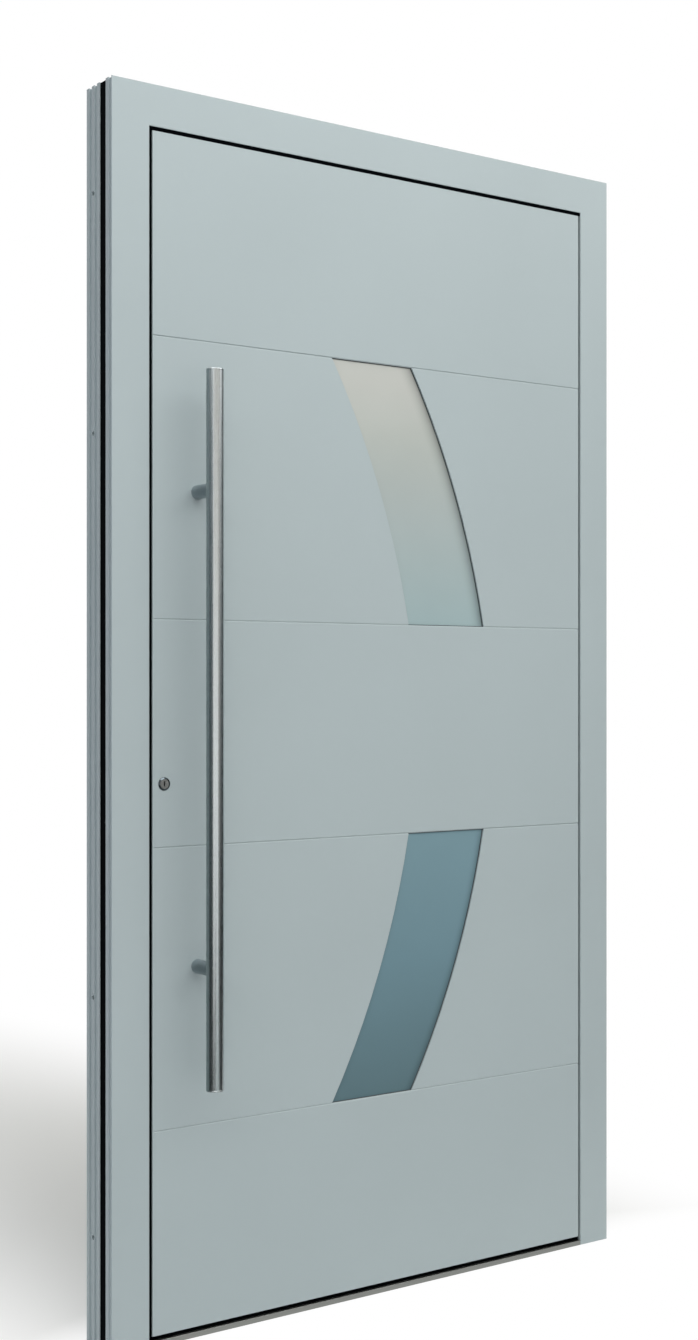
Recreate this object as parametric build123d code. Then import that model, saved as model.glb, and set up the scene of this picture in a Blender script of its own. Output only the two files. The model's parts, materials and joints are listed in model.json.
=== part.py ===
from build123d import *
from math import sqrt
import os

# Glass entrance door in its frame, without the wall. Millimetres, +Z up.
# X runs along the width, to the right seen from outside; Y runs inwards through the wall.
# The origin is on the underside of the threshold, at mid width and mid depth.

# Frame
FRAME_WIDTH = 1100
FRAME_HEIGHT = 2100
JAMB_FACE = 70
REBATE_STEP = 18
OUTER_SHELL_DEPTH = 22
BREAK_DEPTH = 21
INNER_SHELL_DEPTH = 47
BREAK_RECESS = 1.5
BREAK_REVEAL_RECESS = 1
SHELL_WALL = 2.5
SIDE_LIP = 2
SIDE_GROOVE_WIDTH = 9
SIDE_GROOVE_DEPTH = 2
BREAK_WALL = 4
CLEAT_ARM = 60
CLEAT_CLEARANCE = 0.2

# Threshold
THRESHOLD_HEIGHT = 9.5
THRESHOLD_COVER = 2

# Gaps and seals between frame and leaf
GAP_SIDE = 6
GAP_TOP = 7
GAP_BOTTOM = 8.5
STOP_GASKET_DEPTH = 6
STOP_GASKET_INSET = 2
STOP_GASKET_CLEARANCE = 0.3
WEATHER_SEAL_SETBACK = 1.5
WEATHER_SEAL_DEPTH = 6
WEATHER_SEAL_CLEARANCE = 1.2
BOTTOM_SEAL_SETBACK = 6
BOTTOM_SEAL_DEPTH = 8
BOTTOM_SEAL_CLEARANCE = 0.6

# Wall fixings through the jambs
FIXING_RADIUS = 4.25
FIXING_ACCESS_RADIUS = 8
FIXING_END_INSET = 180
FIXING_SPACING = 400
FIXING_CAP_FLANGE = 2
FIXING_CAP_THICKNESS = 1

# Leaf
SKIN = 3
STILE_WIDTH = 120
STILE_WALL = 4
BOTTOM_RAIL_HEIGHT = 120
LINE_WIDTH = 3
LINE_DEPTH = 1.5
LINE_NEAR = 190.5
LINE_FAR = 662.5

# Curved lights: both long edges are arcs of one radius, a light's width apart
LIGHT_WIDTH = 177
LIGHT_ARC_RADIUS = 1515
LIGHT_NEAR_X = 235
LIGHT_ARC_CENTRE_DROP = 81
LIGHT_LAP = 15
LIGHT_SEAL = 1
LIGHT_SEAL_SETBACK = 1.5
PANE = 6
SPACER = 16
SPACER_WIDTH = 8
SPACER_SETBACK = 2
COLLAR_WALL = 2
POCKET_CLEARANCE = 0.5

# Bar handle
BAR_RADIUS = 15
BAR_LENGTH = 1200
BAR_WALL = 2
BAR_RAISE = 6
BAR_EDGE = 86
BAR_REACH = 58
BAR_CAP = 3
BAR_CAP_SPIGOT = 10
STANDOFF_RADIUS = 12
STANDOFF_INSET = 200
STUD_RADIUS = 4
STUD_DEPTH = 22

# Lock
BACKSET = 40
CYLINDER_HEIGHT = 936
CYLINDER_RADIUS = 11
CYLINDER_PROUD = 2
PLUG_RADIUS = 8.2
PLUG_RECESS = 0.5
KEYWAY_WIDTH = 2.4
KEYWAY_HEIGHT = 9
KEYWAY_DEPTH = 25
LEVER_RISE = 92
LATCH_RISE = 28
BOLT_RISE = 40
FACEPLATE_THICKNESS = 3
FACEPLATE_WIDTH = 20
FACEPLATE_END = 100
CASE_DEPTH = 72
CASE_THICKNESS = 16
CASE_BELOW = 45
CASE_ABOVE = 75
LATCH_HEIGHT = 26
LATCH_THICKNESS = 12
LATCH_THROW = 12
LATCH_TAIL = 28
BOLT_HEIGHT = 34
BOLT_TAIL = 32
BOLT_SETBACK = 0.5
PIN_RADIUS = 6
PIN_END_INSET = 362.5
PIN_TAIL = 38
PIN_CASE_DEPTH = 60
PIN_CASE_HEIGHT = 80

# Inside furniture
PLATE_WIDTH = 34
PLATE_THICKNESS = 8
PLATE_END = 45
PLATE_FILLET = 3
LEVER_NECK_RADIUS = 9
LEVER_GRIP_RADIUS = 9.5
LEVER_REACH = 55
LEVER_LENGTH = 125
SPINDLE = 8
SPINDLE_HOLE_RADIUS = 6

# Strikes
STRIKE_THICKNESS = 2
STRIKE_WIDTH = 28
STRIKE_MARGIN = 50
STRIKE_HOLE_CLEARANCE = 1.5
PIN_STRIKE_LENGTH = 90
RELEASE_DEPTH = 29.5
RELEASE_HEIGHT = 64
RELEASE_FRONT = 16
KEEPER_LENGTH = 12
KEEPER_HEIGHT = 32
KEEPER_THICKNESS = 3
KEEPER_GAP = 2
KEEPER_BARREL_RADIUS = 3.2
KEEPER_PIVOT_RADIUS = 2.5
KEEPER_PIVOT_LENGTH = 8
KEEPER_SWING_CLEARANCE = 1.5
LATCH_POCKET_CLEARANCE = 2

# Hinges
HINGE_HEIGHT = 120
HINGE_END_INSET = 250
KNUCKLE_RADIUS = 10
KNUCKLE_STANDOFF = 2
KNUCKLE_GAP = 0.5
HINGE_PIN_RADIUS = 5
HINGE_PIN_PROUD = 2
WING_THICKNESS = 5
WING_WIDTH = 32
WING_SETBACK = 15

# Screws
SCREW_RADIUS = 2.5
SCREW_LENGTH = 16
SCREW_HEAD_RADIUS = 4.5
SCREW_HEAD_HEIGHT = 1.5
WING_SCREW_SPACING = 40
STRIKE_SCREW_INSET = 10
FACEPLATE_SCREW_INSET = 20

# Fits and cuts
RUNNING_CLEARANCE = 0.1
SLIDE_CLEARANCE = 0.3
OVERRUN = 5

# Places worked out from the sizes above
FRAME_DEPTH = OUTER_SHELL_DEPTH + BREAK_DEPTH + INNER_SHELL_DEPTH
FRONT = -FRAME_DEPTH / 2
BACK = FRAME_DEPTH / 2
EDGE = -FRAME_WIDTH / 2
BREAK_FRONT = FRONT + OUTER_SHELL_DEPTH
BREAK_BACK = BREAK_FRONT + BREAK_DEPTH
INNER_FACE = JAMB_FACE - REBATE_STEP
REVEAL_X = EDGE + INNER_FACE
CHAMBER_START = SIDE_GROOVE_DEPTH + SHELL_WALL
INNER_CHAMBER = (BREAK_BACK + SHELL_WALL, BACK - SHELL_WALL)
LEAF_LEFT = EDGE + JAMB_FACE + GAP_SIDE
FLANGE_LEFT = LEAF_LEFT - REBATE_STEP
LEAF_BOTTOM = THRESHOLD_HEIGHT + GAP_BOTTOM
LEAF_TOP = FRAME_HEIGHT - JAMB_FACE - GAP_TOP
FLANGE_TOP = LEAF_TOP + REBATE_STEP
LEAF_MID = (LEAF_BOTTOM + LEAF_TOP) / 2
REBATE_FACE = BREAK_BACK + STOP_GASKET_DEPTH
SKIN_BACK = FRONT + SKIN
INNER_SKIN_FRONT = BACK - SKIN
STILE_INNER = FLANGE_LEFT + STILE_WIDTH
RAIL_TOP = LEAF_BOTTOM + BOTTOM_RAIL_HEIGHT
HEAD_RAIL_BOTTOM = FLANGE_TOP - STILE_WIDTH
LIGHT_NEAR_RISE = LINE_NEAR + LIGHT_ARC_CENTRE_DROP
LIGHT_ARC_CENTRE_X = LIGHT_NEAR_X - sqrt(LIGHT_ARC_RADIUS**2 - LIGHT_NEAR_RISE**2)
PANE_FRONT = SKIN_BACK + LIGHT_SEAL
SPACER_FRONT = PANE_FRONT + PANE
SPACER_BACK = SPACER_FRONT + SPACER
GLASS_BACK = SPACER_BACK + PANE
BAR_X = LEAF_LEFT + BAR_EDGE
BAR_Y = FRONT - BAR_REACH
BAR_MID = LEAF_MID + BAR_RAISE
BAR_ENDS = (BAR_MID - BAR_LENGTH / 2, BAR_MID + BAR_LENGTH / 2)
STANDOFF_HEIGHTS = (BAR_ENDS[0] + STANDOFF_INSET, BAR_ENDS[1] - STANDOFF_INSET)
LOCK_X = FLANGE_LEFT + BACKSET
LOCK_Y = (REBATE_FACE + INNER_SKIN_FRONT) / 2
LEVER_HEIGHT = CYLINDER_HEIGHT + LEVER_RISE
LATCH_MID = LEVER_HEIGHT + LATCH_RISE
BOLT_MID = CYLINDER_HEIGHT + BOLT_RISE
PIN_HEIGHTS = (LEAF_BOTTOM + PIN_END_INSET, LEAF_TOP - PIN_END_INSET)
CASE_FRONT = FLANGE_LEFT + FACEPLATE_THICKNESS
PLATE_FACE = BACK + PLATE_THICKNESS
STRIKE_FACE = REVEAL_X + STRIKE_THICKNESS
KEEPER_X = REVEAL_X - KEEPER_LENGTH
KEEPER_Y = LOCK_Y + LATCH_THICKNESS / 2 + KEEPER_GAP + KEEPER_THICKNESS / 2
HINGE_X = GAP_SIDE / 2 - FLANGE_LEFT
HINGE_Y = BACK + KNUCKLE_STANDOFF + KNUCKLE_RADIUS
HINGE_HEIGHTS = {
    "upper": LEAF_TOP - HINGE_END_INSET,
    "middle": LEAF_MID,
    "lower": LEAF_BOTTOM + HINGE_END_INSET,
}
FIXING_HEIGHTS = (
    FIXING_END_INSET,
    FIXING_END_INSET + FIXING_SPACING,
    FRAME_HEIGHT - FIXING_END_INSET - FIXING_SPACING,
    FRAME_HEIGHT - FIXING_END_INSET,
)
FIXING_Y = (BREAK_BACK + BACK) / 2


def about(middle, length):
    """The span of a length about its middle."""
    return (middle - length / 2, middle + length / 2)


def block(xs, ys, zs):
    """A box over three spans."""
    spans = (xs, ys, zs)
    middle = [(low + high) / 2 for low, high in spans]
    size = [high - low for low, high in spans]
    return Pos(*middle) * Box(*size)


def rod_x(radius, xs, y, z):
    return Pos(sum(xs) / 2, y, z) * Rot(0, 90, 0) * Cylinder(radius, xs[1] - xs[0])


def rod_y(radius, x, ys, z):
    return Pos(x, sum(ys) / 2, z) * Rot(90, 0, 0) * Cylinder(radius, ys[1] - ys[0])


def rod_z(radius, x, y, zs):
    return Pos(x, y, sum(zs) / 2) * Cylinder(radius, zs[1] - zs[0])


def mirrored(shape):
    """The same piece on the other side of the door."""
    return mirror(shape, about=Plane.YZ)


def past(span):
    """A span with the cutting overrun at both ends."""
    return (span[0] - OVERRUN, span[1] + OVERRUN)


# Frame: a run is a length of profile along +Z, its outer edge at X zero


def outer_run(length):
    run = block((0, JAMB_FACE), (FRONT, BREAK_FRONT), (0, length))
    groove = (FRONT + SIDE_LIP, FRONT + SIDE_LIP + SIDE_GROOVE_WIDTH)
    run -= block((-OVERRUN, SIDE_GROOVE_DEPTH), groove, past((0, length)))
    chamber = (FRONT + SHELL_WALL, BREAK_FRONT - SHELL_WALL)
    return run - block((CHAMBER_START, JAMB_FACE - SHELL_WALL), chamber, past((0, length)))


def break_run(length):
    across = (BREAK_RECESS, JAMB_FACE - BREAK_REVEAL_RECESS)
    run = block(across, (BREAK_FRONT, BREAK_BACK), (0, length))
    hollow_across = (across[0] + BREAK_WALL, across[1] - BREAK_WALL)
    hollow_deep = (BREAK_FRONT + BREAK_WALL, BREAK_BACK - BREAK_WALL)
    return run - block(hollow_across, hollow_deep, past((0, length)))


def inner_run(length):
    run = block((0, INNER_FACE), (BREAK_BACK, BACK), (0, length))
    rib = (BACK - BREAK_BACK - 2 * SIDE_GROOVE_WIDTH) / 3
    for count in (1, 2):
        start = BREAK_BACK + count * rib + (count - 1) * SIDE_GROOVE_WIDTH
        groove = (start, start + SIDE_GROOVE_WIDTH)
        run -= block((-OVERRUN, SIDE_GROOVE_DEPTH), groove, past((0, length)))
    return run - block((CHAMBER_START, INNER_FACE - SHELL_WALL), INNER_CHAMBER, past((0, length)))


def mitred_jamb(run, left, top, bottom):
    """A run stood up at the left, its top cut to the mitre that starts at the corner."""
    upright = Pos(left, 0, bottom) * run(top - bottom)
    mitre = Plane(origin=(left, 0, top), z_dir=(1, 0, 1))
    return split(upright, bisect_by=mitre, keep=Keep.BOTTOM)


def mitred_head(run, left, top):
    """A run laid across the top, both ends cut to the mitres."""
    across = Pos(left, 0, top) * Rot(0, 90, 0) * run(-2 * left)
    for side in (1, -1):
        mitre = Plane(origin=(side * left, 0, top), z_dir=(side, 0, 1))
        across = split(across, bisect_by=mitre, keep=Keep.TOP)
    return across


def jamb(run):
    return mitred_jamb(run, EDGE, FRAME_HEIGHT, 0)


def head(run):
    return mitred_head(run, EDGE, FRAME_HEIGHT)


def cleat(across, deep):
    """An angle block that fills a chamber round the left mitre."""
    low = across[0] + CLEAT_CLEARANCE
    high = across[1] - CLEAT_CLEARANCE
    reach = across[1] + CLEAT_ARM
    ys = (deep[0] + CLEAT_CLEARANCE, deep[1] - CLEAT_CLEARANCE)
    post = block((EDGE + low, EDGE + high), ys, (FRAME_HEIGHT - reach, FRAME_HEIGHT - low))
    arm = block((EDGE + low, EDGE + reach), ys, (FRAME_HEIGHT - high, FRAME_HEIGHT - low))
    return post + arm


def corner_cleats():
    outer = (FRONT + SHELL_WALL, BREAK_FRONT - SHELL_WALL)
    left = [
        cleat((CHAMBER_START, JAMB_FACE - SHELL_WALL), outer),
        cleat((CHAMBER_START, INNER_FACE - SHELL_WALL), INNER_CHAMBER),
    ]
    return left + [mirrored(angle) for angle in left]


def fixing_cuts():
    """Screw holes to the wall and their access holes in the reveal, for the left jamb."""
    cuts = []
    for height in FIXING_HEIGHTS:
        wall_hole = past((EDGE, EDGE + CHAMBER_START))
        cuts.append(rod_x(FIXING_RADIUS, wall_hole, FIXING_Y, height))
        access = past((REVEAL_X - SHELL_WALL, REVEAL_X))
        cuts.append(rod_x(FIXING_ACCESS_RADIUS, access, FIXING_Y, height))
    return cuts


def fixing_caps():
    caps = []
    for height in FIXING_HEIGHTS:
        plug_radius = FIXING_ACCESS_RADIUS - RUNNING_CLEARANCE
        plug = rod_x(plug_radius, (REVEAL_X - SHELL_WALL, REVEAL_X), FIXING_Y, height)
        lid_radius = FIXING_ACCESS_RADIUS + FIXING_CAP_FLANGE
        lid = rod_x(lid_radius, (REVEAL_X, REVEAL_X + FIXING_CAP_THICKNESS), FIXING_Y, height)
        caps.append(plug + lid)
    return caps + [mirrored(cap) for cap in caps]


def threshold_plan(inset, zs):
    """The floor between the jambs, drawn in by an inset at front and back."""
    narrow = EDGE + JAMB_FACE
    floor = block((narrow, -narrow), (FRONT + inset, BREAK_BACK), zs)
    return floor + block((REVEAL_X, -REVEAL_X), (BREAK_BACK, BACK - inset), zs)


def threshold_base():
    return threshold_plan(THRESHOLD_COVER, (0, THRESHOLD_HEIGHT - THRESHOLD_COVER))


def threshold_cover():
    return threshold_plan(0, (0, THRESHOLD_HEIGHT)) - threshold_base()


def side_strip(outer, inner, ys):
    """A strip up the left side, between two offsets from the frame's edge."""
    return block((EDGE + outer, EDGE + inner), ys, (THRESHOLD_HEIGHT, FRAME_HEIGHT - outer))


def head_strip(outer, inner, ys, side):
    """A strip under the head, between two offsets from its top, reaching to a side offset."""
    return block((EDGE + side, -EDGE - side), ys, (FRAME_HEIGHT - inner, FRAME_HEIGHT - outer))


def stop_gasket():
    outer = INNER_FACE + STOP_GASKET_INSET
    inner = JAMB_FACE - BREAK_REVEAL_RECESS
    ys = (BREAK_BACK, REBATE_FACE - STOP_GASKET_CLEARANCE)
    left = side_strip(outer, inner, ys)
    return left + head_strip(outer, inner, ys, outer) + mirrored(left)


def weather_seal():
    """Just behind the face at the lock side and head, and its own depth further in at the hinges."""
    start = FRONT + WEATHER_SEAL_SETBACK
    side = JAMB_FACE + GAP_SIDE - WEATHER_SEAL_CLEARANCE
    top = JAMB_FACE + GAP_TOP - WEATHER_SEAL_CLEARANCE
    near = (start, start + WEATHER_SEAL_DEPTH)
    deep = (near[1], near[1] + WEATHER_SEAL_DEPTH)
    lock_side = side_strip(JAMB_FACE, side, near)
    hinge_side = mirrored(side_strip(JAMB_FACE, side, deep))
    return lock_side + head_strip(JAMB_FACE, top, near, JAMB_FACE) + hinge_side


# Strikes in the left jamb


def bolt_opening(xs, clearance):
    ys = about(LOCK_Y, LATCH_THICKNESS + 2 * clearance)
    return block(xs, ys, about(BOLT_MID, BOLT_HEIGHT + 2 * clearance))


def latch_way():
    """The latch's pocket, open to the reveal and to the inside so that a released latch passes."""
    xs = (KEEPER_X - KEEPER_BARREL_RADIUS - KEEPER_SWING_CLEARANCE, STRIKE_FACE + OVERRUN)
    ys = (LOCK_Y - LATCH_THICKNESS / 2 - LATCH_POCKET_CLEARANCE, BACK + OVERRUN)
    return block(xs, ys, about(LATCH_MID, KEEPER_HEIGHT + 2 * SLIDE_CLEARANCE))


def strike_cuts():
    """What the bolts, pins and latch need through the reveal."""
    xs = past((REVEAL_X - SHELL_WALL, STRIKE_FACE))
    cuts = [bolt_opening(xs, STRIKE_HOLE_CLEARANCE), latch_way()]
    for height in PIN_HEIGHTS:
        cuts.append(rod_x(PIN_RADIUS + STRIKE_HOLE_CLEARANCE, xs, LOCK_Y, height))
    return cuts


def main_strike_ends():
    return (BOLT_MID - STRIKE_MARGIN, LATCH_MID + STRIKE_MARGIN)


def main_strike_plate():
    plate = block((REVEAL_X, STRIKE_FACE), about(LOCK_Y, STRIKE_WIDTH), main_strike_ends())
    return plate - strike_cuts() - screw_holes(strike_screws())


def pin_strike_plates():
    plates = []
    for height in PIN_HEIGHTS:
        zs = about(height, PIN_STRIKE_LENGTH)
        plate = block((REVEAL_X, STRIKE_FACE), about(LOCK_Y, STRIKE_WIDTH), zs)
        plates.append(plate - strike_cuts() - screw_holes(strike_screws()))
    return plates


def keeper_pivots(radius, length):
    ends = (-KEEPER_HEIGHT / 2 - length, KEEPER_HEIGHT / 2 + length)
    return rod_z(radius, KEEPER_X, KEEPER_Y, (LATCH_MID + ends[0], LATCH_MID + ends[1]))


def strike_body():
    inner_wall = REVEAL_X - SHELL_WALL
    ys = (LOCK_Y - RELEASE_FRONT, INNER_CHAMBER[1])
    body = block((inner_wall - RELEASE_DEPTH, inner_wall), ys, about(LATCH_MID, RELEASE_HEIGHT))
    bore = keeper_pivots(KEEPER_PIVOT_RADIUS + RUNNING_CLEARANCE, KEEPER_PIVOT_LENGTH + SLIDE_CLEARANCE)
    return body - latch_way() - bore


def strike_keeper():
    """The keeper as it rests, swung open so that the latch can pass."""
    zs = about(LATCH_MID, KEEPER_HEIGHT)
    tongue = block(about(KEEPER_X, KEEPER_THICKNESS), (KEEPER_Y, KEEPER_Y + KEEPER_LENGTH), zs)
    barrel = rod_z(KEEPER_BARREL_RADIUS, KEEPER_X, KEEPER_Y, zs)
    return tongue + barrel + keeper_pivots(KEEPER_PIVOT_RADIUS, KEEPER_PIVOT_LENGTH)


# Screws: each is a place on a face and the face's outward direction


def screw(place, outward):
    x, y, z = place
    along_x, along_y = outward
    if along_x:
        shank = rod_x(SCREW_RADIUS, sorted((x, x - along_x * SCREW_LENGTH)), y, z)
        return shank + rod_x(SCREW_HEAD_RADIUS, sorted((x, x + along_x * SCREW_HEAD_HEIGHT)), y, z)
    shank = rod_y(SCREW_RADIUS, x, sorted((y, y - along_y * SCREW_LENGTH)), z)
    return shank + rod_y(SCREW_HEAD_RADIUS, x, sorted((y, y + along_y * SCREW_HEAD_HEIGHT)), z)


def screw_holes(places):
    holes = []
    radius = SCREW_RADIUS + RUNNING_CLEARANCE
    for (x, y, z), (along_x, along_y) in places:
        if along_x:
            holes.append(rod_x(radius, sorted((x + along_x * OVERRUN, x - along_x * SCREW_LENGTH)), y, z))
        else:
            holes.append(rod_y(radius, x, sorted((y + along_y * OVERRUN, y - along_y * SCREW_LENGTH)), z))
    return holes


def strike_screws():
    ends = [main_strike_ends()]
    ends += [about(height, PIN_STRIKE_LENGTH) for height in PIN_HEIGHTS]
    heights = [low + STRIKE_SCREW_INSET for low, high in ends]
    heights += [high - STRIKE_SCREW_INSET for low, high in ends]
    return [((STRIKE_FACE, LOCK_Y, height), (1, 0)) for height in heights]


def wing_screws(side):
    """Hinge screws, on the frame with side 1 and on the leaf with side -1."""
    x = HINGE_X + side * (WING_SETBACK + WING_WIDTH / 2)
    steps = (-WING_SCREW_SPACING, 0, WING_SCREW_SPACING)
    heights = [middle + step for middle in HINGE_HEIGHTS.values() for step in steps]
    return [((x, BACK + WING_THICKNESS, height), (0, 1)) for height in heights]


def faceplate_screws():
    ends = faceplate_ends()
    near_case = [middle + side * PIN_CASE_HEIGHT for middle in PIN_HEIGHTS for side in (-1, 1)]
    heights = [ends[0] + FACEPLATE_SCREW_INSET, ends[1] - FACEPLATE_SCREW_INSET] + near_case
    return [((FLANGE_LEFT, LOCK_Y, height), (-1, 0)) for height in heights]


# Hinges


def hinge_half(middle, side):
    """A wing and its knuckle: the frame's below with side 1, the leaf's above with side -1."""
    ys = (BACK, BACK + WING_THICKNESS)
    wing_ends = (HINGE_X + side * WING_SETBACK, HINGE_X + side * (WING_SETBACK + WING_WIDTH))
    half = (HINGE_HEIGHT - KNUCKLE_GAP) / 2
    zs = sorted((middle - side * HINGE_HEIGHT / 2, middle - side * (HINGE_HEIGHT / 2 - half)))
    wing = block(sorted(wing_ends), ys, about(middle, HINGE_HEIGHT))
    web = block(sorted((HINGE_X, wing_ends[0])), ys, zs)
    knuckle = rod_z(KNUCKLE_RADIUS, HINGE_X, HINGE_Y, zs)
    bore = rod_z(HINGE_PIN_RADIUS + RUNNING_CLEARANCE, HINGE_X, HINGE_Y, past(zs))
    return wing + web + knuckle - bore - screw_holes(wing_screws(side))


def hinge_pins():
    pins = []
    for middle in HINGE_HEIGHTS.values():
        zs = about(middle, HINGE_HEIGHT + 2 * HINGE_PIN_PROUD)
        head_zs = (zs[0] - HINGE_PIN_PROUD, middle - HINGE_HEIGHT / 2)
        head_radius = KNUCKLE_RADIUS - HINGE_PIN_PROUD
        pin = rod_z(HINGE_PIN_RADIUS, HINGE_X, HINGE_Y, zs)
        pins.append(pin + rod_z(head_radius, HINGE_X, HINGE_Y, head_zs))
    return pins


# Leaf: its profile run has the inner flange's edge at X zero


def leaf_run(length):
    run = block((REBATE_STEP, STILE_WIDTH), (SKIN_BACK, REBATE_FACE), (0, length))
    run += block((0, STILE_WIDTH), (REBATE_FACE, INNER_SKIN_FRONT), (0, length))
    zs = past((0, length))
    front = (SKIN_BACK + STILE_WALL, REBATE_FACE - STILE_WALL)
    run -= block((REBATE_STEP + STILE_WALL, STILE_WIDTH - STILE_WALL), front, zs)
    rear = (REBATE_FACE + STILE_WALL, INNER_SKIN_FRONT - STILE_WALL)
    return run - block((STILE_WALL, STILE_WIDTH - STILE_WALL), rear, zs)


def leaf_stile():
    return mitred_jamb(leaf_run, FLANGE_LEFT, FLANGE_TOP, LEAF_BOTTOM)


def lock_pockets():
    """What the lock needs out of the lock stile: faceplate recess, cases, screws and through holes."""
    recess = block((FLANGE_LEFT - OVERRUN, CASE_FRONT), faceplate_width(), faceplate_ends())
    edge_wall = past((FLANGE_LEFT, FLANGE_LEFT + STILE_WALL))
    ys = about(LOCK_Y, CASE_THICKNESS + 2 * SLIDE_CLEARANCE)
    cuts = [recess, block(edge_wall, ys, grown(case_ends()))]
    for height in PIN_HEIGHTS:
        cuts.append(block(edge_wall, ys, grown(about(height, PIN_CASE_HEIGHT))))
    return cuts + furniture_holes() + stud_holes() + screw_holes(faceplate_screws())


def lock_stile():
    return leaf_stile() - lock_pockets()


def hinge_stile():
    return mirrored(leaf_stile()) - screw_holes(wing_screws(-1))


def top_rail():
    return mitred_head(leaf_run, FLANGE_LEFT, FLANGE_TOP)


def bottom_rail():
    xs = (STILE_INNER, -STILE_INNER)
    rail = block(xs, (SKIN_BACK, INNER_SKIN_FRONT), (LEAF_BOTTOM, RAIL_TOP))
    ys = (SKIN_BACK + STILE_WALL, INNER_SKIN_FRONT - STILE_WALL)
    return rail - block(past(xs), ys, (LEAF_BOTTOM + STILE_WALL, RAIL_TOP - STILE_WALL))


def light(grow, ys):
    """The upper light's outline, grown all round, over a span of depth."""
    low = LEAF_MID + LINE_NEAR - grow
    high = LEAF_MID + LINE_FAR + grow
    heights = (low, (low + high) / 2, high)
    centre_z = LEAF_MID - LIGHT_ARC_CENTRE_DROP

    def arc_points(radius, centre_x):
        return [(centre_x + sqrt(radius**2 - (z - centre_z) ** 2), z) for z in heights]

    right = arc_points(LIGHT_ARC_RADIUS + grow, LIGHT_ARC_CENTRE_X)
    left = arc_points(LIGHT_ARC_RADIUS - grow, LIGHT_ARC_CENTRE_X - LIGHT_WIDTH)
    outline = [
        ThreePointArc(*right),
        Line(right[2], left[2]),
        ThreePointArc(*reversed(left)),
        Line(left[0], right[0]),
    ]
    face = Plane.XZ.offset(-ys[0]) * make_face(outline)
    return extrude(face, amount=ys[1] - ys[0], dir=(0, 1, 0))


def lower(shape):
    """The same piece below the leaf's middle."""
    return mirror(shape, about=Plane.XY.offset(LEAF_MID))


def both_lights(grow, ys):
    upper = light(grow, ys)
    return [upper, lower(upper)]


def line_cuts():
    """The fine grooves across the outer skin."""
    cuts = []
    for offset in (-LINE_FAR, -LINE_NEAR, LINE_NEAR, LINE_FAR):
        z = LEAF_MID + offset
        points = [(FRONT, z - LINE_WIDTH / 2), (FRONT + LINE_DEPTH, z), (FRONT, z + LINE_WIDTH / 2)]
        wedge = Plane.YZ.offset(LEAF_LEFT - OVERRUN) * make_face(Polyline(*points, close=True))
        cuts.append(extrude(wedge, amount=2 * (OVERRUN - LEAF_LEFT), dir=(1, 0, 0)))
    return cuts


def outer_skin():
    skin = block((LEAF_LEFT, -LEAF_LEFT), (FRONT, SKIN_BACK), (LEAF_BOTTOM, LEAF_TOP))
    skin -= both_lights(0, past((FRONT, SKIN_BACK)))
    return skin - line_cuts() - furniture_holes() - stud_holes()


def inner_skin():
    """The inside sheet, with a collar that runs in to each glass unit."""
    skin = block((FLANGE_LEFT, -FLANGE_LEFT), (INNER_SKIN_FRONT, BACK), (LEAF_BOTTOM, FLANGE_TOP))
    for collar in both_lights(COLLAR_WALL, (GLASS_BACK, BACK)):
        skin += collar
    skin -= both_lights(0, past((GLASS_BACK, BACK)))
    return skin - furniture_holes() - screw_holes(wing_screws(-1))


def foam_core():
    core = block((STILE_INNER, -STILE_INNER), (SKIN_BACK, INNER_SKIN_FRONT), (RAIL_TOP, HEAD_RAIL_BOTTOM))
    core -= both_lights(LIGHT_LAP + POCKET_CLEARANCE, (SKIN_BACK, GLASS_BACK))
    return core - both_lights(COLLAR_WALL, past((GLASS_BACK, INNER_SKIN_FRONT))) - stud_holes()


def light_seal():
    ring = light(LIGHT_LAP, (SKIN_BACK, PANE_FRONT))
    return ring - light(LIGHT_SEAL_SETBACK, past((SKIN_BACK, PANE_FRONT)))


def light_spacer():
    span = (SPACER_FRONT, SPACER_BACK)
    outer = LIGHT_LAP - SPACER_SETBACK
    return light(outer, span) - light(outer - SPACER_WIDTH, past(span))


def bottom_seal():
    start = FRONT + BOTTOM_SEAL_SETBACK
    zs = (THRESHOLD_HEIGHT + BOTTOM_SEAL_CLEARANCE, LEAF_BOTTOM)
    return block((LEAF_LEFT, -LEAF_LEFT), (start, start + BOTTOM_SEAL_DEPTH), zs)


# Bar handle


def handle_bar():
    tube = rod_z(BAR_RADIUS, BAR_X, BAR_Y, (BAR_ENDS[0] + BAR_CAP, BAR_ENDS[1] - BAR_CAP))
    return tube - rod_z(BAR_RADIUS - BAR_WALL, BAR_X, BAR_Y, past(BAR_ENDS)) - stud_holes()


def bar_end_caps():
    caps = []
    for end, inward in zip(BAR_ENDS, (1, -1)):
        disc = rod_z(BAR_RADIUS, BAR_X, BAR_Y, sorted((end, end + inward * BAR_CAP)))
        spigot_radius = BAR_RADIUS - BAR_WALL - RUNNING_CLEARANCE
        spigot_end = end + inward * (BAR_CAP + BAR_CAP_SPIGOT)
        caps.append(disc + rod_z(spigot_radius, BAR_X, BAR_Y, sorted((end, spigot_end))))
    return caps


def standoff(height):
    """A round post whose end is saddled to the bar."""
    post = rod_y(STANDOFF_RADIUS, BAR_X, (BAR_Y, FRONT), height)
    return post - rod_z(BAR_RADIUS, BAR_X, BAR_Y, past(BAR_ENDS)) - stud_holes()


def stud_span():
    return (FRONT - STUD_DEPTH, SKIN_BACK + STILE_WALL)


def handle_studs():
    return [rod_y(STUD_RADIUS, BAR_X, stud_span(), height) for height in STANDOFF_HEIGHTS]


def stud_holes():
    radius = STUD_RADIUS + RUNNING_CLEARANCE
    return [rod_y(radius, BAR_X, stud_span(), height) for height in STANDOFF_HEIGHTS]


# Lock


def grown(span):
    """A span with the sliding clearance at both ends."""
    return (span[0] - SLIDE_CLEARANCE, span[1] + SLIDE_CLEARANCE)


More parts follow.
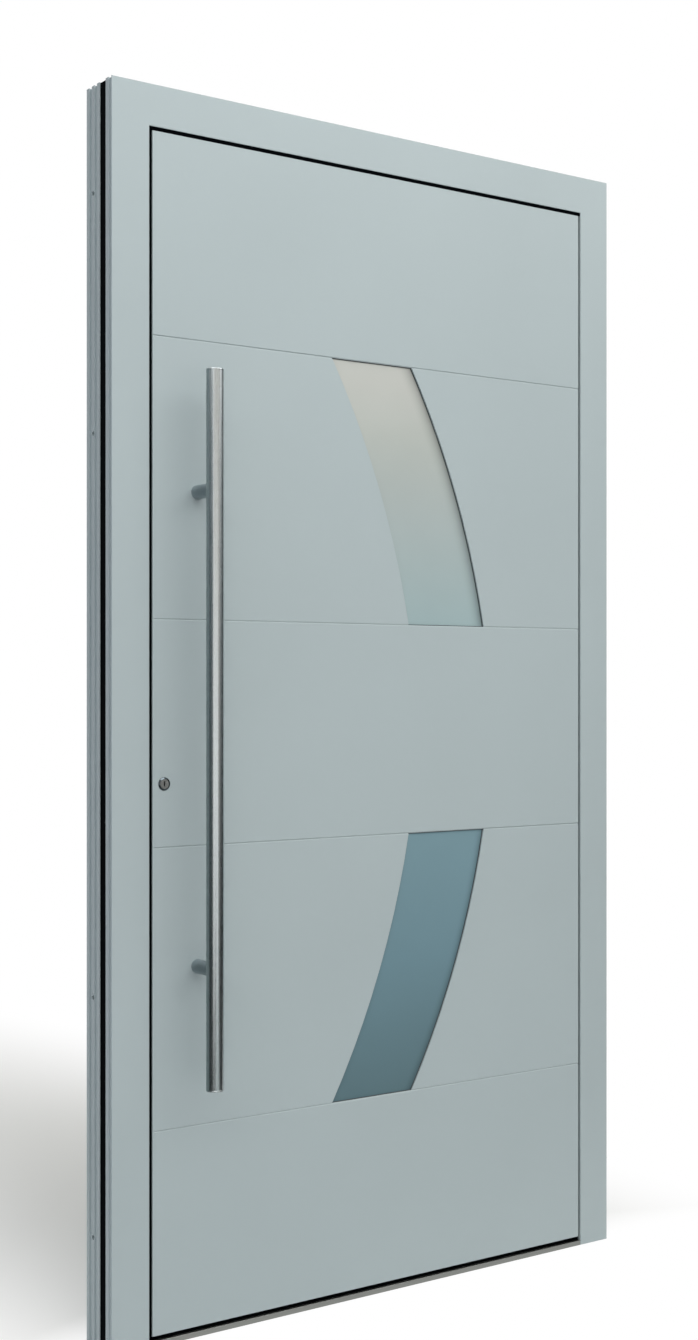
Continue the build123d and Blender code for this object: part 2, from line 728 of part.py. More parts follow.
def case_ends():
    return (CYLINDER_HEIGHT - CASE_BELOW, LEVER_HEIGHT + CASE_ABOVE)


def faceplate_ends():
    return (PIN_HEIGHTS[0] - FACEPLATE_END, PIN_HEIGHTS[1] + FACEPLATE_END)


def faceplate_width():
    return about(LOCK_Y, FACEPLATE_WIDTH)


def furniture_holes():
    """Through holes for the lock cylinder, and for the spindle from the lock to the inside."""
    through = past((FRONT, PLATE_FACE))
    cylinder = rod_y(CYLINDER_RADIUS + RUNNING_CLEARANCE, LOCK_X, through, CYLINDER_HEIGHT)
    inside = (LOCK_Y - CASE_THICKNESS / 2 - OVERRUN, PLATE_FACE + OVERRUN)
    return [cylinder, rod_y(SPINDLE_HOLE_RADIUS, LOCK_X, inside, LEVER_HEIGHT)]


def latch_span():
    return (FLANGE_LEFT - LATCH_THROW, FLANGE_LEFT + LATCH_TAIL)


def bolt_span():
    return (FLANGE_LEFT + BOLT_SETBACK, FLANGE_LEFT + BOLT_SETBACK + BOLT_TAIL)


def pin_span():
    return (FLANGE_LEFT + BOLT_SETBACK, FLANGE_LEFT + BOLT_SETBACK + PIN_TAIL)


def bolt_channels():
    """The ways that the latch, deadbolt and locking pins slide in."""
    start = FLANGE_LEFT - OVERRUN
    ys = grown(about(LOCK_Y, LATCH_THICKNESS))
    latch_end = latch_span()[1] + LATCH_THROW + SLIDE_CLEARANCE
    latch = block((start, latch_end), ys, grown(about(LATCH_MID, LATCH_HEIGHT)))
    bolt = block((start, bolt_span()[1] + SLIDE_CLEARANCE), ys, grown(about(BOLT_MID, BOLT_HEIGHT)))
    radius = PIN_RADIUS + SLIDE_CLEARANCE
    pin_xs = (start, pin_span()[1] + SLIDE_CLEARANCE)
    return [latch, bolt] + [rod_x(radius, pin_xs, LOCK_Y, height) for height in PIN_HEIGHTS]


def lock_faceplate():
    plate = block((FLANGE_LEFT, CASE_FRONT), faceplate_width(), faceplate_ends())
    return plate - bolt_channels() - screw_holes(faceplate_screws())


def lock_case():
    xs = (CASE_FRONT, CASE_FRONT + CASE_DEPTH)
    case = block(xs, about(LOCK_Y, CASE_THICKNESS), case_ends())
    return case - bolt_channels() - furniture_holes()


def pin_lock_cases():
    cases = []
    for height in PIN_HEIGHTS:
        xs = (CASE_FRONT, CASE_FRONT + PIN_CASE_DEPTH)
        case = block(xs, about(LOCK_Y, CASE_THICKNESS), about(height, PIN_CASE_HEIGHT))
        cases.append(case - bolt_channels())
    return cases


def latch_bolt():
    """The sprung latch at rest, thrown, with its bevel on the side that meets the strike."""
    tip, tail = latch_span()
    front, back = about(LOCK_Y, LATCH_THICKNESS)
    nose = back - LATCH_THICKNESS / 4
    points = [(tail, front), (tip + LATCH_THROW, front), (tip, nose), (tip, back), (tail, back)]
    low, high = about(LATCH_MID, LATCH_HEIGHT)
    return Pos(0, 0, low) * extrude(make_face(Polyline(*points, close=True)), amount=high - low)


def deadbolt():
    return block(bolt_span(), about(LOCK_Y, LATCH_THICKNESS), about(BOLT_MID, BOLT_HEIGHT))


def locking_pin(height):
    return rod_x(PIN_RADIUS, pin_span(), LOCK_Y, height)


def cylinder_span():
    return (FRONT - CYLINDER_PROUD, PLATE_FACE + CYLINDER_PROUD)


def cylinder_housing():
    housing = rod_y(CYLINDER_RADIUS, LOCK_X, cylinder_span(), CYLINDER_HEIGHT)
    bore = rod_y(PLUG_RADIUS + RUNNING_CLEARANCE, LOCK_X, past(cylinder_span()), CYLINDER_HEIGHT)
    return housing - bore


def cylinder_plug():
    front, back = cylinder_span()
    span = (front + PLUG_RECESS, back - PLUG_RECESS)
    plug = rod_y(PLUG_RADIUS, LOCK_X, span, CYLINDER_HEIGHT)
    for mouth, inward in zip(span, (1, -1)):
        ys = sorted((mouth - inward * OVERRUN, mouth + inward * KEYWAY_DEPTH))
        plug -= block(about(LOCK_X, KEYWAY_WIDTH), ys, about(CYLINDER_HEIGHT, KEYWAY_HEIGHT))
    return plug


def inside_plate():
    ends = (CYLINDER_HEIGHT - PLATE_END, LEVER_HEIGHT + PLATE_END)
    plate = block(about(LOCK_X, PLATE_WIDTH), (BACK, PLATE_FACE), ends)
    plate = fillet(plate.faces().sort_by(Axis.Y)[-1].edges(), PLATE_FILLET)
    return plate - furniture_holes()


def lever():
    """The inside lever with its square spindle, at rest."""
    neck_ys = (PLATE_FACE + SLIDE_CLEARANCE, BACK + LEVER_REACH)
    neck = rod_y(LEVER_NECK_RADIUS, LOCK_X, neck_ys, LEVER_HEIGHT)
    grip = rod_x(LEVER_GRIP_RADIUS, (LOCK_X, LOCK_X + LEVER_LENGTH), BACK + LEVER_REACH, LEVER_HEIGHT)
    elbow = Pos(LOCK_X, BACK + LEVER_REACH, LEVER_HEIGHT) * Sphere(LEVER_GRIP_RADIUS)
    spindle_ys = (LOCK_Y - CASE_THICKNESS / 2, BACK + LEVER_REACH)
    spindle = block(about(LOCK_X, SPINDLE), spindle_ys, about(LEVER_HEIGHT, SPINDLE))
    return neck + grip + elbow + spindle


def left_jamb_inner():
    return jamb(inner_run) - fixing_cuts() - strike_cuts() - screw_holes(strike_screws())


def right_jamb_inner():
    return mirrored(jamb(inner_run) - fixing_cuts()) - screw_holes(wing_screws(1))


def screws(places):
    return [screw(place, outward) for place, outward in places]


def build():
    """Every piece by its name; a list is a group of like solids."""
    pieces = {
        "left_jamb_outer": jamb(outer_run),
        "left_jamb_break": jamb(break_run),
        "left_jamb_inner": left_jamb_inner(),
        "right_jamb_outer": mirrored(jamb(outer_run)),
        "right_jamb_break": mirrored(jamb(break_run)),
        "right_jamb_inner": right_jamb_inner(),
        "head_outer": head(outer_run),
        "head_break": head(break_run),
        "head_inner": head(inner_run),
        "corner_cleats": corner_cleats(),
        "threshold_cover": threshold_cover(),
        "threshold_base": threshold_base(),
        "stop_gasket": stop_gasket(),
        "weather_seal": weather_seal(),
        "fixing_caps": fixing_caps(),
        "main_strike_plate": main_strike_plate(),
        "pin_strike_plates": pin_strike_plates(),
        "strike_body": strike_body(),
        "strike_keeper": strike_keeper(),
        "frame_screws": screws(strike_screws() + wing_screws(1)),
        "hinge_pins": hinge_pins(),
        "outer_skin": outer_skin(),
        "inner_skin": inner_skin(),
        "foam_core": foam_core(),
        "lock_stile": lock_stile(),
        "hinge_stile": hinge_stile(),
        "top_rail": top_rail(),
        "bottom_rail": bottom_rail(),
        "leaf_bottom_seal": bottom_seal(),
        "leaf_screws": screws(faceplate_screws() + wing_screws(-1)),
        "handle_bar": handle_bar(),
        "bar_end_caps": bar_end_caps(),
        "lower_standoff": standoff(STANDOFF_HEIGHTS[0]),
        "upper_standoff": standoff(STANDOFF_HEIGHTS[1]),
        "handle_studs": handle_studs(),
        "lock_faceplate": lock_faceplate(),
        "lock_case": lock_case(),
        "pin_lock_cases": pin_lock_cases(),
        "latch_bolt": latch_bolt(),
        "deadbolt": deadbolt(),
        "lower_locking_pin": locking_pin(PIN_HEIGHTS[0]),
        "upper_locking_pin": locking_pin(PIN_HEIGHTS[1]),
        "cylinder_housing": cylinder_housing(),
        "cylinder_plug": cylinder_plug(),
        "inside_plate": inside_plate(),
        "lever": lever(),
    }
    for place, middle in HINGE_HEIGHTS.items():
        pieces[f"{place}_hinge_frame_half"] = hinge_half(middle, 1)
        pieces[f"{place}_hinge_leaf_half"] = hinge_half(middle, -1)
    glass = {
        "outer_pane": light(LIGHT_LAP, (PANE_FRONT, SPACER_FRONT)),
        "inner_pane": light(LIGHT_LAP, (SPACER_BACK, GLASS_BACK)),
        "spacer": light_spacer(),
        "seal": light_seal(),
    }
    for name, piece in glass.items():
        pieces[f"upper_glass_{name}"] = piece
        pieces[f"lower_glass_{name}"] = lower(piece)
    return pieces


def main():
    os.makedirs("parts", exist_ok=True)
    for name, piece in build().items():
        solid = Compound(children=piece) if isinstance(piece, list) else piece
        export_step(solid, f"parts/{name}.step")


main()
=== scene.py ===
import json
import math

import bmesh
import bpy
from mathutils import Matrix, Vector

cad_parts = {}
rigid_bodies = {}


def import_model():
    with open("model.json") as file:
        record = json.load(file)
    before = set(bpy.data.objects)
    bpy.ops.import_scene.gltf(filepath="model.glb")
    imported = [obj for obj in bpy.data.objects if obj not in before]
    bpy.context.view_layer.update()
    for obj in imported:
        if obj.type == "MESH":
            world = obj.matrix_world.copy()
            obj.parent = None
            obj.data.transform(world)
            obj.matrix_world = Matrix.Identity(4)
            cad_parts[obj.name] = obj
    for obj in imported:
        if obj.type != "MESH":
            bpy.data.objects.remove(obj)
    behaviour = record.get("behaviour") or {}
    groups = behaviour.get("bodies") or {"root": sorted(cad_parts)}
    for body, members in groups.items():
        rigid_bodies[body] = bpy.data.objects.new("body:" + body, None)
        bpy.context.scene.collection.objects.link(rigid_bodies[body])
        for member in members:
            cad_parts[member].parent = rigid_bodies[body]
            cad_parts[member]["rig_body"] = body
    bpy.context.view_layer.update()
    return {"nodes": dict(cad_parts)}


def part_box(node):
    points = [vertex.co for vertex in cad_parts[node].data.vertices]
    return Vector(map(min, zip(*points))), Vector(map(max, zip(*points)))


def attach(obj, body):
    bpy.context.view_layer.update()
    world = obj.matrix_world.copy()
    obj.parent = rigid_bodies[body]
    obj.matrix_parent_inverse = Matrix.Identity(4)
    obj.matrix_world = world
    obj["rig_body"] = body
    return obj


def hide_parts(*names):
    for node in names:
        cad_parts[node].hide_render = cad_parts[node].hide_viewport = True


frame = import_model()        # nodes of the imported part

NODES = frame["nodes"]
MM = 0.001

# Camera, as the photograph was taken
CAMERA_PLACE = Vector((-1.910, -2.6665, 1.0996))
CAMERA_LEVEL_DEG = 90.0
CAMERA_TURN_DEG = -34.98
CAMERA_LENS_MM = 48.05
CAMERA_SENSOR_MM = 36.0
CAMERA_SHIFT_Y = 0.0119

# World and lamps: a lamp's place and its watts
WHITE = (1.0, 1.0, 1.0, 1.0)
AMBIENT = 0.462
LAMP_TARGET = Vector((0.0, 0.0, 1.2))
LAMP_WIDTH = 14.0
LAMP_HEIGHT = 1.8
LAMPS = {
    "key": (Vector((-0.45, -2.9, 4.7)), 311.0),
    "fill": (Vector((0.6, 3.4, 4.4)), 22.0),
}

# The floor: its paint, and the tone of it that the camera sees in the shadow
FLOOR_SIZE = 40.0
FLOOR_PAINT = (0.90, 0.90, 0.90, 1.0)
FLOOR_SEEN = (0.90, 0.90, 0.86, 1.0)
# How the camera sees the shadow fade to white: between two distances from its centre, in which depth
# counts for less than width, and towards the front, from one depth to another
SHADOW_CENTRE = (0.0, -0.4, 0.0)
SHADOW_NEAR = 0.25
SHADOW_FAR = 0.99
SHADOW_DEPTH_SHARE = 0.23
FRONT_SHADED = 0.28
FRONT_WHITE = -0.04

# Upright cards round the set: the foot of one end, the top of the other, the colours at foot and top
UPRIGHT_CARDS = {
    "left_card": ((-2.6, -1.6, 0.0), (-2.6, 1.2, 2.2), (30, 35, 34), (98, 111, 116)),
    "left_flag": ((-2.7, -2.4, 0.0), (-2.7, 1.2, 4.8), (62, 84, 118), (16, 30, 60)),
    "right_card": ((2.6, 0.6, 0.0), (2.6, -4.2, 2.2), (18, 21, 22), (139, 144, 146)),
    "right_flag": ((1.6, -0.15, 0.0), (1.6, -1.0, 2.3), (26, 29, 30), (60, 64, 65)),
    "front_card": ((2.6, -4.2, 0.0), (0.4, -4.2, 3.4), (112, 114, 113), (214, 210, 204)),
    "back_card": ((0.4, -4.6, 1.3), (-5.5, -4.6, 3.4), (240, 236, 230), (150, 146, 140)),
    # A glow just in front of the leaf beside the bar, seen only in metal and glass: a painted reflection of
    # the leaf, darker than the lit leaf
    "leaf_reflection_card": ((-0.548, -0.0465, 0.35), (-0.405, -0.0465, 1.72), (104, 116, 117), (124, 136, 139)),
}
# Cards that lie just above the floor: two opposite corners and the colour
FLOOR_CARDS = {
    "floor_left_card": ((-2.6, -4.6), (-1.1, 1.2), (40, 45, 46)),
    "floor_near_card": ((-1.1, -2.6), (0.4, -0.4), (162, 171, 171)),
    "floor_far_card": ((-1.1, -4.6), (0.4, -2.6), (203, 210, 210)),
    "floor_right_card": ((0.4, -4.6), (2.6, -0.4), (24, 28, 29)),
}
FLOOR_CARD_LIFT = 0.004
# The card that metal and glass don't show, and the cards that shade the object's sides
UNREFLECTED_CARDS = ("left_flag",)
SHADING_CARDS = ("left_flag", "right_flag")

# Colours as sRGB bytes
COAT = (172, 184, 185)
THRESHOLD = (139, 141, 137)
STEEL = (209, 215, 216)
DARK_STEEL = (174, 183, 187)
RUBBER = (2, 4, 6)
GASKET = (20, 22, 23)
# The glazing bead's grey, dark enough to stand in as well for painted shade in the light's reveal
BEAD = (70, 77, 79)
POLYAMIDE = (2, 4, 6)
ALUMINIUM = (196, 198, 200)
ZINC = (178, 181, 184)
NICKEL = (196, 198, 198)
DARK_NICKEL = (82, 90, 94)
FOAM = (220, 212, 188)
# The glass's colour from its foot to its top, a painted reflection that is pale and warm above and deep
# blue-grey below: height in metres, then the colour there
GLASS_REFLECTION_TONES = (
    (0.35, (95, 119, 125)),
    (0.60, (112, 141, 150)),
    (0.85, (124, 153, 161)),
    (1.20, (160, 181, 182)),
    (1.40, (171, 182, 180)),
    (1.56, (183, 188, 181)),
    (1.65, (188, 190, 183)),
)

# The lights' edges, as in the part: arcs of one radius, a light's width apart
LEAF_MID = sum(corner.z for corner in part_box("outer_skin")) / 2
PANE_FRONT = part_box("upper_glass_outer_pane")[0].y
LIGHT_NEAR = 190.5 * MM
LIGHT_FAR = 662.5 * MM
LIGHT_WIDTH = 177 * MM
LIGHT_ARC_RADIUS = 1515 * MM
LIGHT_NEAR_X = 235 * MM
LIGHT_ARC_DROP = 81 * MM
LIGHT_ARC_X = LIGHT_NEAR_X - math.sqrt(LIGHT_ARC_RADIUS**2 - (LIGHT_NEAR + LIGHT_ARC_DROP) ** 2)
UPPER = 1
LOWER = -1
# The painted shade along a light's right-hand arc: its width, the share it takes away at the edge, its
# fall-off
UPPER_ARC_SHADE = (31 * MM, 0.52)
LOWER_ARC_SHADE = (19 * MM, 0.42)
ARC_SHADE_POWER = 2.0

# How dense scratches are along the grain, as a share of across it, and where a tint's ramp begins and ends
SCRATCH_SHARE = 0.012
DARK_STOP_SHARE = 0.25
LIGHT_STOP_SHARE = 0.75

# Rounded edges of the pieces whose sharp CAD edges would show: a radius and its nodes
FRAME_SHELLS = tuple(f"{side}_{shell}" for shell in ("outer", "inner")
                     for side in ("left_jamb", "right_jamb", "head"))
HINGE_HALVES = tuple(f"{level}_hinge_{half}_half" for half in ("frame", "leaf")
                     for level in ("upper", "middle", "lower"))
SOFT_EDGES = (
    (0.8 * MM, (*FRAME_SHELLS, "inner_skin", "threshold_cover", "bar_end_caps", "hinge_pins", *HINGE_HALVES)),
    (0.5 * MM, ("outer_skin", "upper_standoff", "lower_standoff", "cylinder_plug", "main_strike_plate",
                "pin_strike_plates", "lock_faceplate", "latch_bolt", "deadbolt", "upper_locking_pin",
                "lower_locking_pin", "strike_keeper", "fixing_caps")),
    (1.2 * MM, ("inside_plate", "lever")),
    (2.0 * MM, ("stop_gasket",)),
)
EDGE_STEPS = 2
MITRE_SLACK = 0.01
# Angles: an edge that is rounded, an edge that shades sharp, faces that count as one flat face
SHARP_DEG = 30.0
CREASE_DEG = 40.0
FLAT_DEG = 0.4
WELD = 0.002 * MM
# Screws whose heads take a hexagonal socket, its size as shares of the head's radius
SOCKET_NODES = ("frame_screws", "leaf_screws")
SOCKET_APOTHEM_SHARE = 0.48
SOCKET_DEPTH_SHARE = 0.55
HEXAGON_TURN = math.pi / 3
CAP_CORNERS = 12
# The lock cylinder's housing: its wall, the flat lip round the plug and the cone beyond it
HOUSING_WALL = 2.6 * MM
HOUSING_LIP = 0.3 * MM
HOUSING_CONE = 1.5 * MM
TURN_STEPS = 72
# The glazing bead's section in millimetres: inset from the light's edge, rise from the pane
BEAD_SECTION = ((0.1, 0.0), (0.1, 1.4), (0.3, 1.6), (0.7, 1.5), (1.1, 1.1), (1.3, 0.5), (1.4, 0.0))
ARC_STEPS = 40


def linear(colour, gain=1.0):
    """A colour of sRGB bytes as the linear RGBA that a shader takes."""
    channels = []
    for byte in colour:
        share = byte / 255
        value = share / 12.92 if share <= 0.04045 else ((share + 0.055) / 1.055) ** 2.4
        channels.append(min(value * gain, 1.0))
    return (*channels, 1.0)


class Shading:
    """The nodes of a material or of the world, built up from an empty tree."""

    def __init__(self, owner, output="OutputMaterial"):
        owner.use_nodes = True
        self.tree = owner.node_tree
        self.tree.nodes.clear()
        self.output = self.add(output)

    def add(self, kind, sockets=None, **settings):
        """A new node with its settings; a socket's value may be another node's output."""
        node = self.tree.nodes.new("ShaderNode" + kind)
        for setting, value in settings.items():
            setattr(node, setting, value)
        for socket, value in (sockets or {}).items():
            if isinstance(value, bpy.types.NodeSocket):
                self.tree.links.new(value, node.inputs[socket])
            else:
                node.inputs[socket].default_value = value
        return node

    def show(self, shader):
        """Give a shader to the tree's output."""
        self.tree.links.new(shader, self.output.inputs["Surface"])

    def mix(self, share, first, second):
        """A shader that turns from the first to the second as a share goes from 0 to 1."""
        return self.add("MixShader", {"Fac": share, 1: first, 2: second}).outputs["Shader"]

    def calc(self, operation, *values):
        """The result of an operation on one or two numbers."""
        return self.add("Math", dict(enumerate(values)), operation=operation).outputs["Value"]

    def vector(self, operation, *values):
        """The outputs of an operation on one or two vectors."""
        return self.add("VectorMath", dict(enumerate(values)), operation=operation).outputs

    def axes(self, vector):
        """The X, Y and Z of a vector."""
        return self.add("SeparateXYZ", {"Vector": vector}).outputs

    def reach(self, value, start, end, interpolation="LINEAR"):
        """How far a value has come from start to end, from 0 to 1."""
        ends = {"Value": value, "From Min": start, "From Max": end}
        return self.add("MapRange", ends, interpolation_type=interpolation).outputs["Result"]

    def spread(self, share, low, high):
        """A share from 0 to 1 as a number from low to high."""
        return self.add("MapRange", {"Value": share, "To Min": low, "To Max": high}).outputs["Result"]

    def ramp(self, share, stops):
        """A share from 0 to 1 as a colour; each stop is a share and its colour, in rising order."""
        node = self.add("ValToRGB", {"Fac": share})
        elements = node.color_ramp.elements
        while len(elements) < len(stops):
            elements.new(1.0)
        for element, (position, colour) in zip(elements, stops):
            element.position = position
            element.color = colour
        return node.outputs["Color"]

    def backdrop_share(self):
        """One for the rays that see the backdrop: from the camera, off metal, or through glass."""
        rays = self.add("LightPath").outputs
        share = self.calc("MAXIMUM", rays["Is Camera Ray"], rays["Is Glossy Ray"])
        return self.calc("MAXIMUM", share, rays["Is Transmission Ray"])


class Finish(Shading):
    """A material round one Principled shader, with its detail in the part's own frame."""

    def __init__(self, name, sockets):
        self.material = bpy.data.materials.new(name)
        super().__init__(self.material)
        self.shader = self.add("BsdfPrincipled", sockets)
        self.show(self.shader.outputs["BSDF"])
        self.place = self.add("TexCoord").outputs["Object"]

    def drive(self, socket, output):
        """Let an output set one of the shader's sockets."""
        self.tree.links.new(output, self.shader.inputs[socket])

    def noise(self, waves, detail=2.0, stretch=(1.0, 1.0, 1.0)):
        """Noise of so many waves a metre, from 0 to 1."""
        place = self.add("Mapping", {"Vector": self.place, "Scale": stretch}).outputs["Vector"]
        return self.add("TexNoise", {"Vector": place, "Scale": waves, "Detail": detail}).outputs["Fac"]

    def tint(self, share, colour, darkest, lightest):
        """Let a share move the base colour between two gains."""
        dark = (DARK_STOP_SHARE, linear(colour, darkest))
        light = (LIGHT_STOP_SHARE, linear(colour, lightest))
        self.drive("Base Color", self.ramp(share, (dark, light)))

    def bump(self, height, strength, depth):
        """Let a height from 0 to 1 stand out as relief."""
        node = self.add("Bump", {"Height": height, "Strength": strength, "Distance": depth})
        self.drive("Normal", node.outputs["Normal"])


def coat_finish(name, colour):
    """Powder coat: a fine pebbled skin, with the faintest drift of tone."""
    finish = Finish(name, {"Specular IOR Level": 0.4})
    finish.tint(finish.noise(waves=2.2), colour, darkest=0.975, lightest=1.025)
    pebbles = finish.noise(waves=900.0)
    finish.drive("Roughness", finish.spread(pebbles, low=0.40, high=0.56))
    finish.bump(pebbles, strength=0.10, depth=0.15 * MM)
    return finish.material


def brushed_finish(name, colour, grain, roughness=(0.15, 0.24)):
    """Satin metal with fine scratches along one axis, the grain."""
    finish = Finish(name, {"Metallic": 1.0})
    stretch = tuple(SCRATCH_SHARE if axis == grain else 1.0 for axis in "XYZ")
    scratches = finish.noise(waves=1400.0, detail=4.0, stretch=stretch)
    finish.tint(scratches, colour, darkest=0.90, lightest=1.08)
    finish.drive("Roughness", finish.spread(scratches, *roughness))
    finish.bump(scratches, strength=0.06, depth=0.05 * MM)
    return finish.material


def cast_finish(name, colour, metallic, roughness, waves, specular=0.5):
    """Plated, moulded or foamed stuff: a grain of its own scale in colour, gloss and relief."""
    finish = Finish(name, {"Metallic": metallic, "Specular IOR Level": specular})
    grain = finish.noise(waves, detail=3.0)
    finish.tint(grain, colour, darkest=0.88, lightest=1.10)
    finish.drive("Roughness", finish.spread(grain, *roughness))
    finish.bump(grain, strength=0.08, depth=0.1 * MM)
    return finish.material


def painted_arc_shade(finish, width, shade):
    """Painted shade: one over the glass, and less towards its right-hand arc, where the skin's edge would
    shade it.
    """
    place = finish.axes(finish.place)
    rise = finish.calc("ABSOLUTE", finish.calc("SUBTRACT", place["Z"], LEAF_MID))
    rise = finish.calc("ADD", rise, LIGHT_ARC_DROP)
    point = finish.add("CombineXYZ", {"X": place["X"], "Z": rise}).outputs["Vector"]
    radius = finish.vector("DISTANCE", point, (LIGHT_ARC_X, 0.0, 0.0))["Value"]
    near = finish.reach(radius, LIGHT_ARC_RADIUS - width, LIGHT_ARC_RADIUS)
    return finish.spread(finish.calc("POWER", near, ARC_SHADE_POWER), low=1.0, high=1.0 - shade)


def glass_finish(name, rim):
    """Satin glass, its colour a painted reflection: pale and warm at the top and deep blue-grey at the foot.
    """
    finish = Finish(name, {"Roughness": 0.08, "IOR": 1.5, "Specular IOR Level": 0.5})
    foot = GLASS_REFLECTION_TONES[0][0]
    top = GLASS_REFLECTION_TONES[-1][0]
    stops = [((height - foot) / (top - foot), linear(colour)) for height, colour in GLASS_REFLECTION_TONES]
    tone = finish.ramp(finish.reach(finish.axes(finish.place)["Z"], foot, top), stops)
    drift = finish.spread(finish.noise(waves=9.0), low=0.96, high=1.04)
    # Painted shade along the right-hand arc, times a random drift of tone
    share = finish.calc("MULTIPLY", painted_arc_shade(finish, *rim), drift)
    shaded = finish.add("VectorMath", {0: tone, "Scale": share}, operation="SCALE")
    finish.drive("Base Color", shaded.outputs["Vector"])
    finish.bump(finish.noise(waves=6.0), strength=0.02, depth=1.0 * MM)
    return finish.material


# The finish of each material slot, then of the nodes and pieces that differ from their slot
FINISHES = {
    "coat": coat_finish("coat_finish", COAT),
    "hinge_metal": coat_finish("hinge_finish", COAT),
    "break_plastic": cast_finish("polyamide_finish", POLYAMIDE, metallic=0.0, roughness=(0.6, 0.75),
                                 waves=500.0, specular=0.01),
    "seal_rubber": cast_finish("rubber_finish", RUBBER, metallic=0.0, roughness=(0.6, 0.8),
                               waves=350.0, specular=0.01),
    "mill_aluminium": brushed_finish("mill_finish", ALUMINIUM, grain="Z"),
    "threshold_metal": brushed_finish("threshold_finish", THRESHOLD, grain="X", roughness=(0.32, 0.46)),
    "stainless": brushed_finish("stainless_finish", STEEL, grain="Z", roughness=(0.22, 0.32)),
    "zinc_steel": cast_finish("zinc_finish", ZINC, metallic=1.0, roughness=(0.28, 0.42), waves=260.0),
    "nickel": cast_finish("nickel_finish", NICKEL, metallic=1.0, roughness=(0.16, 0.26), waves=420.0),
    "glass": glass_finish("glass_finish", LOWER_ARC_SHADE),
    "foam": cast_finish("foam_finish", FOAM, metallic=0.0, roughness=(0.8, 0.95), waves=140.0),
}
# The bead's tone is partly its own grey and partly painted shade of the light's reveal
BEAD_AND_SHADE_FINISH = cast_finish("bead_and_shade_finish", BEAD, metallic=0.0, roughness=(0.45, 0.6), waves=350.0, specular=0.3)
STANDOFF_FINISH = brushed_finish("standoff_finish", DARK_STEEL, grain="Y", roughness=(0.38, 0.48))
NODE_FINISHES = {
    "stop_gasket": cast_finish("gasket_finish", GASKET, metallic=0.0, roughness=(0.45, 0.6),
                               waves=350.0, specular=0.3),
    "fixing_caps": cast_finish("cap_finish", COAT, metallic=0.0, roughness=(0.40, 0.56),
                               waves=350.0, specular=0.4),
    "upper_glass_outer_pane": glass_finish("upper_glass_finish", UPPER_ARC_SHADE),
    "lever": brushed_finish("lever_finish", STEEL, grain="X", roughness=(0.22, 0.32)),
    "upper_standoff": STANDOFF_FINISH,
    "lower_standoff": STANDOFF_FINISH,
    "cylinder_housing": cast_finish("cylinder_finish", DARK_NICKEL, metallic=1.0, roughness=(0.10, 0.18),
                                    waves=420.0),
}


def dress_nodes():
    """Every carried-over node takes its own finish, or else the finish of its slot."""
    for name, node in NODES.items():
        for place in node.material_slots:
            place.material = NODE_FINISHES.get(name) or FINISHES[place.material.name]


def cleaned_shape(name):
    """A CAD node's mesh as a shape to work on, with each flat face in one piece."""
    shape = bmesh.new()
    shape.from_mesh(NODES[name].data)
    bmesh.ops.remove_doubles(shape, verts=shape.verts, dist=WELD)
    bmesh.ops.dissolve_limit(shape, angle_limit=math.radians(FLAT_DEG), verts=shape.verts, edges=shape.edges)
    return shape


def ring_shape(rings):
    """A closed shape from rings of points, each joined to the next and the last to the first."""
    shape = bmesh.new()
    rings = [[shape.verts.new(point) for point in ring] for ring in rings]
    for ring, following in zip(rings, rings[1:] + rings[:1]):
        for step in range(len(ring)):
            after = (step + 1) % len(ring)
            shape.faces.new((ring[step], ring[after], following[after], following[step]))
    bmesh.ops.recalc_face_normals(shape, faces=shape.faces)
    return shape


def add_piece(name, shape, finish):
    """Turn a worked shape into a smooth piece with a finish."""
    mesh = bpy.data.meshes.new(name)
    shape.to_mesh(mesh)
    shape.free()
    mesh.shade_smooth()
    mesh.set_sharp_from_angle(angle=math.radians(CREASE_DEG))
    mesh.materials.append(finish)
    piece = bpy.data.objects.new(name, mesh)
    bpy.context.scene.collection.objects.link(piece)
    return piece


def stand_in(name, shape, ending):
    """Turn a worked shape into the piece that stands for a CAD node, in the node's own finish."""
    piece = add_piece(name + ending, shape, NODES[name].material_slots[0].material)
    piece.modifiers.new("even_shading", "WEIGHTED_NORMAL").keep_sharp = True
    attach(piece, NODES[name]["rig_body"])
    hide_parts(name)


def meets_mitre(edge):
    """True for an edge of a mitre face, which lies against its neighbour and stays sharp."""
    for face in edge.link_faces:
        x, y, z = (abs(share) for share in face.normal)
        if abs(x - z) < MITRE_SLACK and y < MITRE_SLACK:
            return True
    return False


def soften(name, radius):
    """A copy of a CAD node with its outer edges rounded, which stands for the node."""
    shape = cleaned_shape(name)
    edges = [edge for edge in shape.edges
             if len(edge.link_faces) == 2 and edge.is_convex and not meets_mitre(edge)
             and edge.calc_face_angle() > math.radians(SHARP_DEG)]
    bmesh.ops.bevel(shape, geom=edges, offset=radius, segments=EDGE_STEPS, profile=0.5, affect="EDGES",
                    clamp_overlap=True)
    stand_in(name, shape, "_soft")


def loose_bodies(shape):
    """The faces of each separate body in a shape."""
    bodies = []
    found = set()
    for start in shape.faces:
        if start in found:
            continue
        found.add(start)
        body = [start]
        for face in body:
            for edge in face.edges:
                for other in edge.link_faces:
                    if other not in found:
                        found.add(other)
                        body.append(other)
        bodies.append(body)
    return bodies


